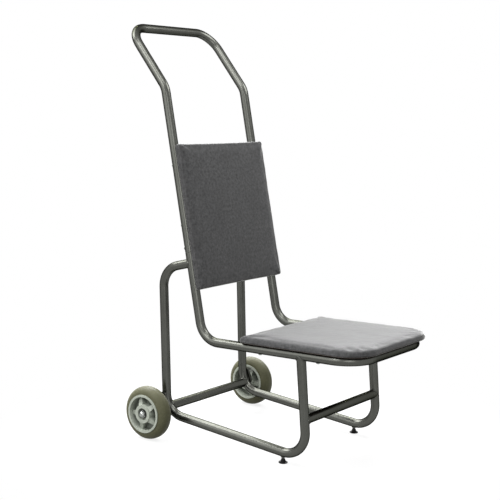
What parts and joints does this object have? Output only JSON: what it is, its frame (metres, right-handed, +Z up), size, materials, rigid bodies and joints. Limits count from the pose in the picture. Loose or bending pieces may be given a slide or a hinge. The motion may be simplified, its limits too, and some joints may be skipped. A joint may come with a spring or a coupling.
{
  "type": "stacking chair trolley",
  "caption": "Bent-tube trolley for moving stacked chairs: padded low seat and reclined back, angled push handle, spoked rear wheels and screw-in front feet.",
  "frame": {"origin": "on the floor, under the middle of the trolley's overall box", "axes": "+Z up, front of the seat towards -Y, wheel axles along X, left is -X as seen from the front"},
  "size_m": [0.5476, 0.8054, 1.15],
  "materials": {
    "frame_coat": "satin metallic bronze-grey powder coat",
    "zinc": "bright zinc plate",
    "tyre_rubber": "matte olive-grey moulded rubber",
    "hub_plastic": "satin moulded grey plastic",
    "bush_nylon": "natural nylon",
    "black_oxide": "black oxide steel",
    "foot_plastic": "black moulded plastic",
    "fabric": "dark grey woven upholstery fabric over thin foam",
    "plywood": "red-brown stained plywood"
  },
  "bodies": {
    "frame": {"handle_tube": "frame_coat", "seat_tube": "frame_coat", "side_frame_left": "frame_coat", "side_frame_right": "frame_coat", "rear_cross_tube": "frame_coat", "front_cross_tube": "frame_coat", "joint_sleeve_left": "frame_coat", "joint_sleeve_right": "frame_coat", "joint_screws": "zinc", "axle_plate_left": "frame_coat", "axle_plate_right": "frame_coat", "stub_axle_left": "zinc", "stub_axle_right": "zinc", "spacer_sleeve_left": "zinc", "spacer_sleeve_right": "zinc", "axle_washer_left": "black_oxide", "axle_washer_right": "black_oxide", "cap_nut_left": "zinc", "cap_nut_right": "zinc", "foot_bush_left": "frame_coat", "foot_bush_right": "frame_coat", "back_board": "plywood", "back_cushion": "fabric", "back_screws": "zinc", "seat_board": "plywood", "seat_cushion": "fabric", "seat_screws": "zinc"},
    "wheel_left": {"tyre_left": "tyre_rubber", "wheel_hub_left": "hub_plastic", "hub_bushes_left": "bush_nylon"},
    "foot_left": {"foot_pad_left": "foot_plastic", "foot_stud_left": "black_oxide"},
    "wheel_right": {"tyre_right": "tyre_rubber", "wheel_hub_right": "hub_plastic", "hub_bushes_right": "bush_nylon"},
    "foot_right": {"foot_pad_right": "foot_plastic", "foot_stud_right": "black_oxide"}
  },
  "joints": [
    {"name": "wheel_left_spin", "type": "hinge", "parent": "frame", "child": "wheel_left", "pos_m": [-0.2405, 0.25239, 0.074], "axis": [1, 0, 0], "continuous": true},
    {"name": "wheel_right_spin", "type": "hinge", "parent": "frame", "child": "wheel_right", "pos_m": [0.2405, 0.25239, 0.074], "axis": [1, 0, 0], "continuous": true},
    {"name": "foot_left_level", "type": "slide", "parent": "frame", "child": "foot_left", "axis": [0, 0, 1], "range_m": [0, 0.004]},
    {"name": "foot_right_level", "type": "slide", "parent": "frame", "child": "foot_right", "axis": [0, 0, 1], "range_m": [0, 0.004]}
  ]
}
